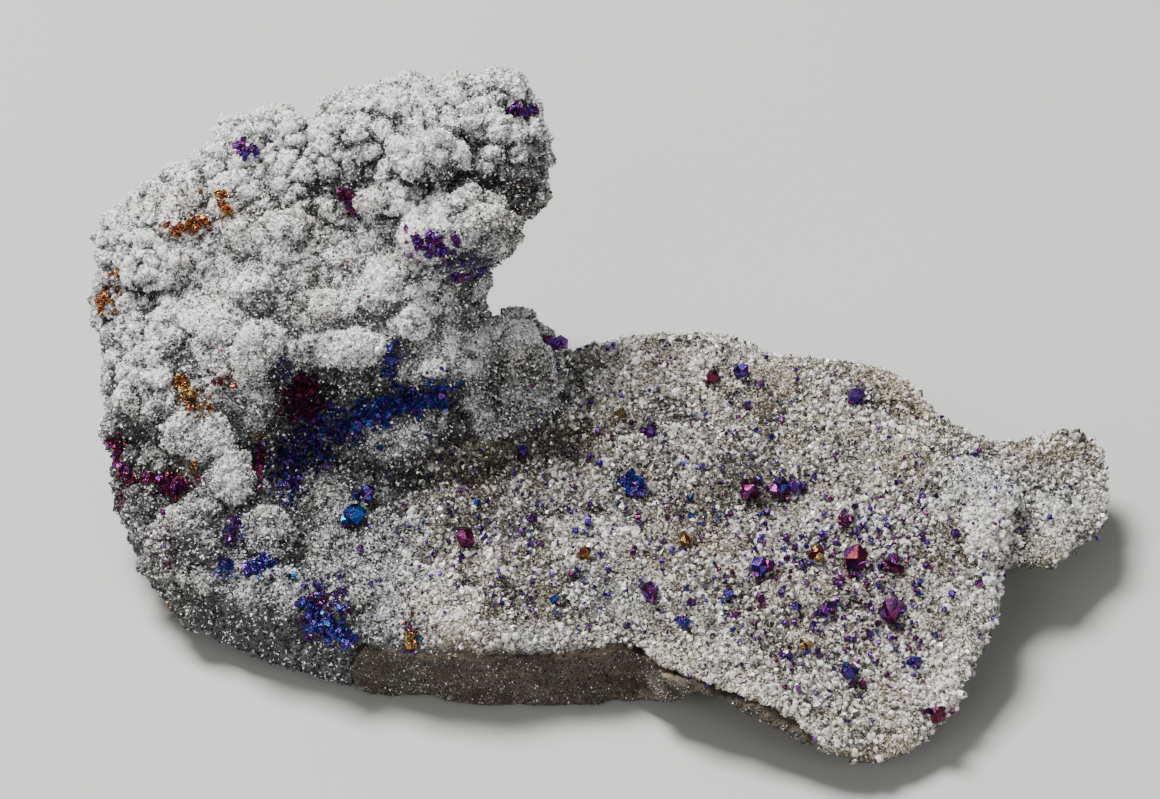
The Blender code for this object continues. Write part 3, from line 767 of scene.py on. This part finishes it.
def crust_tone(points, growth, edge, calm, rims, crease_shade_and_rim_light, gravel):
    """How pale the crust is, with painted light and shade: by its facing the light, its rims and creases, and
    darker low on the growth.
    """
    # Painted shade: the growth is darker low down; painted light: paler where its smoothed surface faces the
    # top light.
    low = smooth_step(30, 14, points[:, 2])
    facing = calm @ LIGHT_FROM - 0.45
    tone = 0.65 - 0.34 * low - 0.05 * edge + (0.30 - 0.18 * low) * facing + (0.40 - 0.16 * low) * rims
    tone += (0.6 - 0.2 * low) * crease_shade_and_rim_light + 0.10 * soft_noise(points, 5.0, 5)
    # The plate's tone, with the same painted highlight on bumps and painted shade in hollows.
    flat = 0.46 + 0.3 * rims + 0.16 * soft_noise(points, 3.0, 6) + gravel
    hidden = covered(points)
    # Painted shade on faces that look down, low on the specimen.
    underside_shade = smooth_step(0.1, -0.4, calm[:, 2]) * smooth_step(14, 9, points[:, 2])
    tone = growth * tone + (1 - growth) * flat
    tone += painted_shade_and_tone(points) * (1 - 0.9 * hidden) - 0.10 * earthiness(points)
    tone -= 0.40 * hidden + 0.30 * underside_shade
    return np.clip(tone, 0, 1)


class MakeGround(bpy.types.Operator):
    """Make the crust that the quartz grains grow on"""

    bl_idname = "specimen.make_ground"
    bl_label = "Crust"

    def execute(self, context):
        sizes, colours = context.scene.specimen_sizes, context.scene.specimen_colours
        piece = fine_copy("quartz_druse", "druse_ground", sizes.ground_voxel)
        mesh = piece.data
        points, normals = points_of(mesh), normals_of(mesh)
        growth, edge = on_growth(points), crowned(points)
        height, crease_shade_and_rim_light, gravel = crust_relief(points, growth, edge, sizes)
        points = move(points, normals, height)
        points[:, 2] = np.maximum(points[:, 2], CRUST_FLOOR)
        put_points(mesh, points)
        normals = normals_of(mesh)
        fine = standing_out(mesh, points, normals, rounds=5)
        broad = standing_out(mesh, points, normals, rounds=45)
        calm = calm_normals(mesh, points, rounds=12)
        rng = np.random.default_rng(8)
        jitter = rng.normal(size=len(points)) * 0.06 * smooth_step(0.3, 1.0, points[:, 2])
        points = move(points, normals, np.clip(jitter, -0.15, 0.15))
        put_points(mesh, points)
        # Painted highlight and shade: bumps that stand out of the smoothed surface are paler, hollows darker.
        rims = np.clip(fine / 0.10, -1, 1.2) * 0.22 + np.clip(broad / 0.45, -1.2, 1.2) * 0.24
        set_attribute(mesh, "tone", crust_tone(points, growth, edge, calm, rims, crease_shade_and_rim_light, gravel))
        set_attribute(mesh, "earth", earthiness(points))
        shade_flat(mesh)
        finish = druse_finish("druse_ground", colours, roughness=0.4, speckle=0.75)
        add_piece(piece, finish, ("quartz_druse",))
        return {"FINISHED"}


class MakeGrowthDruse(bpy.types.Operator):
    """Cover the tall growth with fine quartz crystals"""

    bl_idname = "specimen.make_growth_druse"
    bl_label = "Growth druse"

    def execute(self, context):
        sizes, colours = context.scene.specimen_sizes, context.scene.specimen_colours
        ground = bpy.data.objects["druse_ground"].data
        finish = druse_finish("growth_quartz", colours, roughness=0.2, speckle=0.55)
        shape = quartz_shape(4, 0)
        shares = 3

        def growing(at, flat):
            return on_growth(at) * (at[:, 2] > 0.6) * (1 - 0.9 * covered(at))

        for share in range(shares):
            rng = np.random.default_rng(100 + share)
            count = sizes.growth_count // shares
            places, outward, tone, earth = scatter(ground, count, 40 + share, growing, ("tone", "earth"))
            width = sizes.growth_grain * rng.uniform(0.6, 1.4, count)
            size = squat(width, rng)
            mesh = grains("growth_druse_%d" % (share + 1), shape, places, bases(outward, 0.35, rng), size)
            tone = tone - 0.04 + 0.17 * rng.normal(size=count)
            add_quartz(mesh, finish, tone, earth, spread=0.24, glints=0.11, rng=rng)

        def coarse(at, flat):
            clusters = np.clip(0.2 + 1.6 * soft_noise(at, 4.0, 37), 0, 1)
            return growing(at, flat) * (crowned(at) * clusters + 0.02)

        rng = np.random.default_rng(110)
        count = sizes.crown_count
        places, outward, tone, earth = scatter(ground, count, 44, coarse, ("tone", "earth"))
        width = 0.55 + 0.6 * rng.random(count) ** 2
        size = width[:, None] * rng.uniform(0.8, 1.1, (count, 3))
        mesh = grains("crown_crystals", lump_shape(10, 6), places, bases(outward, 1.0, rng), size)
        tone = tone + 0.20 + 0.12 * rng.normal(size=count)
        add_quartz(mesh, finish, tone, earth, spread=0.08, glints=0.05, rng=rng)
        return {"FINISHED"}


class MakePlateDruse(bpy.types.Operator):
    """Cover the plate with larger glassy quartz crystals"""

    bl_idname = "specimen.make_plate_druse"
    bl_label = "Plate druse"

    def execute(self, context):
        sizes, colours = context.scene.specimen_sizes, context.scene.specimen_colours
        ground = bpy.data.objects["druse_ground"].data
        finish = druse_finish("plate_quartz", colours, roughness=0.12, speckle=0.45)

        def top(at, flat):
            return (1 - on_growth(at)) * smooth_step(-0.2, 0.3, flat[:, 2])

        def large(at, flat):
            clusters = 0.9 + 0.9 * soft_noise(at, 3.0, 35) + 0.5 * soft_noise(at, 8.0, 36)
            crest = np.exp(-reach_from(seen_places(at), *CREST))
            clean = smooth_step(1.4, 1.0, earthiness(at))
            return top(at, flat) * clean * (np.clip(clusters, 0, None) + 1.5 * crest)

        def below(at, flat):
            return smooth_step(0.2, -0.1, flat[:, 2]) * (at[:, 2] > 0.8) * (1 - on_growth(at) * 0.5)

        grain = sizes.plate_grain
        kinds = (
            ("plate_crystals", 5, 0.5, sizes.plate_count, grain * 1.15, large, 61, 0.26, 0.35),
            ("plate_grains", 4, 0, sizes.plate_fill, grain * 0.5, top, 62, 0.03, 1.0),
            ("underside_grains", 4, 0, sizes.underside_count, grain * 0.6, below, 63, -0.12, 1.0),
        )
        for name, sides, waist, count, widest, weigh, seed, lift, stain in kinds:
            rng = np.random.default_rng(seed)
            places, outward, tone, earth = scatter(ground, count, seed + 5, weigh, ("tone", "earth"))
            width = widest * rng.uniform(0.45, 1.0, count) * (1 + 0.5 * (rng.random(count) > 0.93))
            depth = width * rng.uniform(0.75, 1, count)
            size = np.stack((width, depth, width * rng.uniform(0.5, 1.1, count)), axis=1)
            mesh = grains(name, quartz_shape(sides, waist), places, bases(outward, 0.6, rng), size)
            tone = tone + lift + 0.20 * rng.normal(size=count)
            add_quartz(mesh, finish, tone, earth * stain, spread=0.18, glints=0.05, rng=rng)
        return {"FINISHED"}


class MakeRock(bpy.types.Operator):
    """Make the broken rock under the crust"""

    bl_idname = "specimen.make_rock"
    bl_label = "Rock"

    def execute(self, context):
        sizes, colours = context.scene.specimen_sizes, context.scene.specimen_colours
        piece = fine_copy("matrix_rock", "broken_rock", sizes.rock_voxel)
        points, normals = points_of(piece.data), normals_of(piece.data)
        _, _, facet = nearest_centres(points * (1, 1, 2.2), 5.5, 71)
        _, _, chip = nearest_centres(points * (1, 1, 1.6), 1.9, 72)
        rough = 0.7 * (facet - 0.5) + 0.36 * (chip - 0.5) + 0.4 * soft_noise(points, 3.0, 73)
        rough += 0.12 * soft_noise(points, 1.0, 74)
        points = move(points, normals, rough * smooth_step(0.05, 1.2, points[:, 2]))
        points[:, 2] = np.maximum(points[:, 2], 0)
        put_points(piece.data, points)
        ragged = points[:, 2] + 0.3 * soft_noise(points, 2.0, 75)
        rim = smooth_step(7.0, 7.6, ragged) * smooth_step(9, 6, points[:, 0])
        set_attribute(piece.data, "earth", rim)
        add_piece(piece, rock_finish("broken_rock", colours), ("matrix_rock",))

        def bare(at, flat):
            return (at[:, 2] > 0.4) * smooth_step(0.6, 0.3, np.abs(flat[:, 2])) * (at[:, 1] < 0)

        rng = np.random.default_rng(81)
        count = sizes.rock_count
        places, outward = scatter(piece.data, count, 82, bare)
        width = rng.uniform(0.14, 0.30, count)
        size = squat(width, rng)
        mesh = grains("rock_grains", quartz_shape(4, 0), places, bases(outward, 0.3, rng), size)
        dim = 0.32 + 0.10 * soft_noise(places, 4.0, 76) + 0.08 * rng.normal(size=count)
        per_face_tone(mesh, dim, spread=0.08, glints=0.022, rng=rng)
        per_grain(mesh, "earth", rng.uniform(0.3, 0.8, count))
        finish = druse_finish("rock_quartz", colours, roughness=0.2, speckle=0.4)
        add_piece(linked("rock_grains", mesh), finish)
        return {"FINISHED"}


HUES = {
    "tarnish_gold": 0.05, "tarnish_copper": 0.17, "tarnish_maroon": 0.45, "tarnish_purple": 0.58,
    "tarnish_blue": 0.76, "tarnish_teal": 0.92,
}


def lifted(places, ground, normals, least):
    """Places moved out to stand at least so far above the ground's nearest point, all compared at once."""
    margin = 3
    low, high = places.min(axis=0) - margin, places.max(axis=0) + margin
    near = np.all((ground > low) & (ground < high), axis=1)
    ground, normals = ground[near], normals[near]
    nearest = np.argmin(((places[:, None, :] - ground[None, :, :]) ** 2).sum(axis=2), axis=1)
    height = ((places - ground[nearest]) * normals[nearest]).sum(axis=1)
    return places + normals[nearest] * np.clip(least - height, 0, None)[:, None]


def crystal_group(cloud, rng):
    """A large crystal at the middle of a node's points and smaller ones grown into it: places and widths."""
    widest = (cloud.max(axis=0) - cloud.min(axis=0)).max()
    smaller = 8
    places = np.repeat(cloud.mean(axis=0)[None, :], smaller + 1, axis=0)
    places[1:] += rng.normal(size=(smaller, 3)) * widest * 0.22 * (1, 1, 0.4)
    places[:, 2] += widest * 0.12
    return places, np.concatenate(([widest * 1.15], widest * rng.uniform(0.4, 0.8, smaller)))


def crystal_crust(mesh, seed, rng):
    """Small crystals spread over a whole node, so many for each area: places and widths."""
    area_for_each = 0.13
    count = int(triangles_of(mesh)[2].sum() / area_for_each) + 8
    places = scatter(mesh, count, seed, lambda at, flat: np.ones(len(at)))[0]
    return places, rng.uniform(0.34, 0.80, count)


class MakeChalcopyrite(bpy.types.Operator):
    """Make the chalcopyrite crystals and bands"""

    bl_idname = "specimen.make_chalcopyrite"
    bl_label = "Chalcopyrite"

    def execute(self, context):
        finish = tarnish_finish("tarnish")
        slots = {part["node"]: part["material_slot"] for part in frame["record"]["subparts"]}
        ground = bpy.data.objects["druse_ground"].data
        ground_points, ground_normals = points_of(ground), normals_of(ground)
        for number, node in enumerate(sorted(name for name in slots if name.startswith("chalcopyrite"))):
            rng = np.random.default_rng(500 + number)
            mesh = frame["nodes"][node].data
            if "crystal" in node:
                shape = lump_shape(11, number)
                places, width = crystal_group(points_of(mesh), rng)
            else:
                shape = wedge_shape()
                places, width = crystal_crust(mesh, 700 + number, rng)
            count = len(places)
            places = lifted(places, ground_points, ground_normals, 0.45 * width)
            size = width[:, None] * rng.uniform(0.75, 1.1, (count, 3))
            axes = bases(np.repeat(((0.0, 0.0, 1.0),), count, axis=0), 1.2, rng)
            made = grains(node.replace("chalcopyrite_", "tarnished_"), shape, places, axes, size)
            piece = linked(made.name, made)
            hue = over_faces(made, HUES[slots[node]] + rng.normal(size=count) * 0.06)
            set_hue(made, hue + rng.normal(size=len(hue)) * 0.07)
            set_painted_sparkle(made, 0.20 if "crystal" in node or "hollow" in node else 0.32, rng)
            add_piece(piece, finish, (node,))
        return {"FINISHED"}


# Swarms of specks as seen on the leaning face: across, up, half widths, count, width, hue, spread of the hue,
# and how much of the quartz they hide.
SWARMS = (
    (12, 8, 24, 12, 760, 0.50, 0.64, 0.09, 0.0), (27, 1, 9, 8, 360, 0.56, 0.57, 0.10, 0.0),
    (14, 22, 16, 4, 110, 0.50, 0.72, 0.12, 0.0), (-14, 6, 10, 5, 130, 0.46, 0.64, 0.08, 0.0),
    (-17, 24.2, 2.2, 1.3, 221, 0.42, 0.75, 0.05, 0.8), (-20.5, 22.8, 2.4, 1.5, 273, 0.42, 0.75, 0.05, 0.8),
    (-24, 21.2, 2.4, 1.6, 273, 0.42, 0.75, 0.05, 0.8), (-27.5, 19.6, 2.6, 1.8, 330, 0.42, 0.72, 0.06, 0.85),
    (-30.5, 17.6, 2.2, 2.3, 330, 0.42, 0.71, 0.06, 0.85), (-33, 14.6, 1.6, 2.8, 260, 0.42, 0.69, 0.06, 0.8),
    (-21.8, 27, 1, 2.2, 117, 0.42, 0.76, 0.04, 0.6), (-31.0, 22.6, 2.2, 2.4, 260, 0.50, 0.45, 0.06, 0.5),
    (-33.2, 26, 0.9, 0.9, 30, 0.36, 0.70, 0.04, 0.5), (-28.8, 0.4, 2.3, 3, 300, 0.40, 0.63, 0.08, 0.8),
    (-38.6, 8.6, 1.2, 1.5, 70, 0.38, 0.64, 0.06, 0.6), (-39.3, 4.7, 0.9, 0.9, 40, 0.38, 0.78, 0.04, 0.6),
    (-36.1, 4.5, 1.4, 1, 60, 0.38, 0.72, 0.05, 0.6), (-32.5, 4, 0.6, 0.6, 12, 0.38, 0.92, 0.03, 0.3),
    (-50, 16, 1.3, 4, 90, 0.42, 0.38, 0.07, 0.5), (-45, 14, 3, 1.1, 110, 0.42, 0.37, 0.07, 0.6),
    (-42.9, 15.4, 0.7, 0.7, 14, 0.4, 0.12, 0.05, 0.2), (-42.5, 22.4, 1.8, 1.2, 60, 0.42, 0.12, 0.07, 0.5),
    (-44, 24, 0.8, 1.2, 26, 0.42, 0.10, 0.06, 0.4), (-39, 24.6, 1.2, 0.5, 22, 0.4, 0.24, 0.04, 0.3),
    (-36.3, 18.8, 0.7, 0.7, 14, 0.4, 0.16, 0.04, 0.3), (-36.3, 14.4, 0.9, 1.2, 34, 0.4, 0.44, 0.05, 0.5),
    (-43.6, 40.6, 2.4, 0.8, 60, 0.38, 0.22, 0.06, 0.5), (-39.4, 43.4, 0.7, 1.4, 26, 0.38, 0.20, 0.05, 0.5),
    (-51, 34, 1, 1.8, 44, 0.4, 0.20, 0.05, 0.5), (-48.6, 30, 0.8, 0.9, 22, 0.38, 0.42, 0.05, 0.5),
    (-37, 49, 1.1, 1, 30, 0.38, 0.52, 0.20, 0.4), (-34.6, 50.2, 0.5, 0.5, 8, 0.38, 0.60, 0.06, 0.3),
    (-26.5, 43.6, 1.3, 0.9, 50, 0.38, 0.38, 0.05, 0.6), (-8.6, 53.2, 1.0, 0.7, 22, 0.38, 0.60, 0.08, 0.4),
    (-14.4, 37, 2.8, 1.4, 170, 0.38, 0.64, 0.05, 0.7), (-45.6, 8, 1, 2.5, 30, 0.36, 0.42, 0.07, 0.2),
    (-30, 34, 18, 16, 70, 0.26, 0.26, 0.14, 0.0), (-19.8, -1.8, 1, 2, 46, 0.4, 0.50, 0.25, 0.4),
    (-17.6, 39.8, 1.7, 0.8, 70, 0.40, 0.58, 0.10, 0.4), (-45.6, 1, 0.6, 0.5, 8, 0.4, 0.06, 0.03, 0.2),
    (-44.5, 43.8, 1.6, 1.6, 16, 0.5, 0.03, 0.02, 0.0), (40, 6, 5, 8, 36, 0.34, 0.66, 0.10, 0.0),
)


def covered(points):
    """How much of the quartz the swarms hide, from 0 to 1: the greatest of their bells at each point."""
    seen = seen_places(points)
    most = np.zeros(len(points))
    for *ellipse, _, _, _, _, cover in SWARMS:
        if cover:
            most = np.maximum(most, cover * np.exp(-reach_from(seen, *ellipse)))
    return most


class MakeSpecks(bpy.types.Operator):
    """Scatter small chalcopyrite crystals in swarms"""

    bl_idname = "specimen.make_specks"
    bl_label = "Specks"

    def execute(self, context):
        sizes = context.scene.specimen_sizes
        ground = bpy.data.objects["druse_ground"].data
        toward = np.array((0.0, -math.cos(FACE_LEAN), math.sin(FACE_LEAN)))
        swarms = []
        for number, (*ellipse, count, grain, hue, spread, cover) in enumerate(SWARMS):
            limit = 1.8 if cover > 0.3 else 4.0
            rng = np.random.default_rng(900 + number)
            count = int(count * sizes.speck_share)

            def weigh(at, flat):
                reach = reach_from(seen_places(at), *ellipse)
                return np.exp(-reach) * (reach < limit) * smooth_step(-0.1, 0.3, flat @ toward)

            spots, normals = scatter(ground, count, 950 + number, weigh)
            width = grain * rng.gamma(5.0, 0.2, count)
            raised = spots + normals * (0.16 + 0.45 * width)[:, None]
            swarms.append((raised, normals, width, hue + spread * rng.normal(size=count)))
        places, outward, width, hue = (np.concatenate(column) for column in zip(*swarms))
        rng = np.random.default_rng(77)
        axes = bases(outward, 0.9, rng)
        size = width[:, None] * rng.uniform(0.7, 1.15, (len(places), 3))
        mesh = grains("tarnished_specks", lump_shape(9, 3), places, axes, size)
        set_hue(mesh, over_faces(mesh, hue))
        set_painted_sparkle(mesh, 0.28, rng)
        add_piece(linked(mesh.name, mesh), tarnish_finish("speck_tarnish"))
        return {"FINISHED"}


class MakeStage(bpy.types.Operator):
    """Make the floor, the soft light and the camera"""

    bl_idname = "specimen.make_stage"
    bl_label = "Stage"

    def execute(self, context):
        scene = context.scene
        bm = bmesh.new()
        bmesh.ops.create_grid(bm, x_segments=1, y_segments=1, size=3.0)
        mesh = bpy.data.meshes.new("floor")
        bm.to_mesh(mesh)
        bm.free()
        floor = linked("floor", mesh)
        finish = Finish("floor")
        finish.set(base_color=(*scene.specimen_colours.floor, 1), roughness=0.7)
        mesh.materials.append(finish.material)

        sine, cosine = math.sin(FACE_LEAN), math.cos(FACE_LEAN)
        across, up, out = SEEN_CENTRE
        aim = Vector((across, up * sine - out * cosine, up * cosine + out * sine))
        aim += Vector((*ORIGIN_SHIFT, 0))
        back = Vector((0, -cosine, sine))
        camera = bpy.data.objects.new("camera", bpy.data.cameras.new("camera"))
        camera.data.lens = 160
        camera.data.sensor_width = 36
        camera.data.clip_start = 0.01
        camera.location = (aim + back * SEEN_FROM) * MM
        camera.rotation_euler = back.to_track_quat("Z", "Y").to_euler()
        scene.collection.objects.link(camera)
        scene.camera = camera

        lights = (
            ("top_light", (-0.28, 0.16, 0.75), 0.32, 14.0),
            ("front_light", (-0.45, -0.75, 0.50), 0.5, 2.6),
            ("right_light", (0.42, -0.75, 0.60), 0.4, 1.8),
        )
        for name, place, width, power in lights:
            light = bpy.data.objects.new(name, bpy.data.lights.new(name, "AREA"))
            light.data.energy = power
            light.data.size = width
            light.location = place
            light.rotation_euler = Vector(place).to_track_quat("Z", "Y").to_euler()
            scene.collection.objects.link(light)
        world = bpy.data.worlds.new("soft_room")
        world.use_nodes = True
        background = world.node_tree.nodes["Background"]
        background.inputs["Color"].default_value = (0.97, 0.98, 1.0, 1)
        background.inputs["Strength"].default_value = 0.15
        scene.world = world
        return {"FINISHED"}


class SpecimenPanel(bpy.types.Panel):
    """Shows the specimen's sizes and colours, and the buttons that make its pieces"""

    bl_idname = "VIEW3D_PT_specimen"
    bl_label = "Specimen"
    bl_space_type = "VIEW_3D"
    bl_region_type = "UI"
    bl_category = "Specimen"

    def draw(self, context):
        for group in (context.scene.specimen_sizes, context.scene.specimen_colours):
            for name in group.bl_rna.properties.keys():
                if name not in ("rna_type", "name"):
                    self.layout.prop(group, name)
        for operator in OPERATORS:
            self.layout.operator(operator.bl_idname)


OPERATORS = (MakeGround, MakeGrowthDruse, MakePlateDruse, MakeRock, MakeChalcopyrite, MakeSpecks, MakeStage)
CLASSES = (SpecimenSizes, SpecimenColours, SpecimenPanel) + OPERATORS


def register():
    for kind in CLASSES:
        bpy.utils.register_class(kind)
    bpy.types.Scene.specimen_sizes = PointerProperty(type=SpecimenSizes)
    bpy.types.Scene.specimen_colours = PointerProperty(type=SpecimenColours)


def unregister():
    del bpy.types.Scene.specimen_colours
    del bpy.types.Scene.specimen_sizes
    for kind in reversed(CLASSES):
        bpy.utils.unregister_class(kind)


def main():
    register()
    bpy.ops.specimen.make_ground()
    bpy.ops.specimen.make_growth_druse()
    bpy.ops.specimen.make_plate_druse()
    bpy.ops.specimen.make_rock()
    bpy.ops.specimen.make_chalcopyrite()
    bpy.ops.specimen.make_specks()
    bpy.ops.specimen.make_stage()


if __name__ == "__main__":
    main()
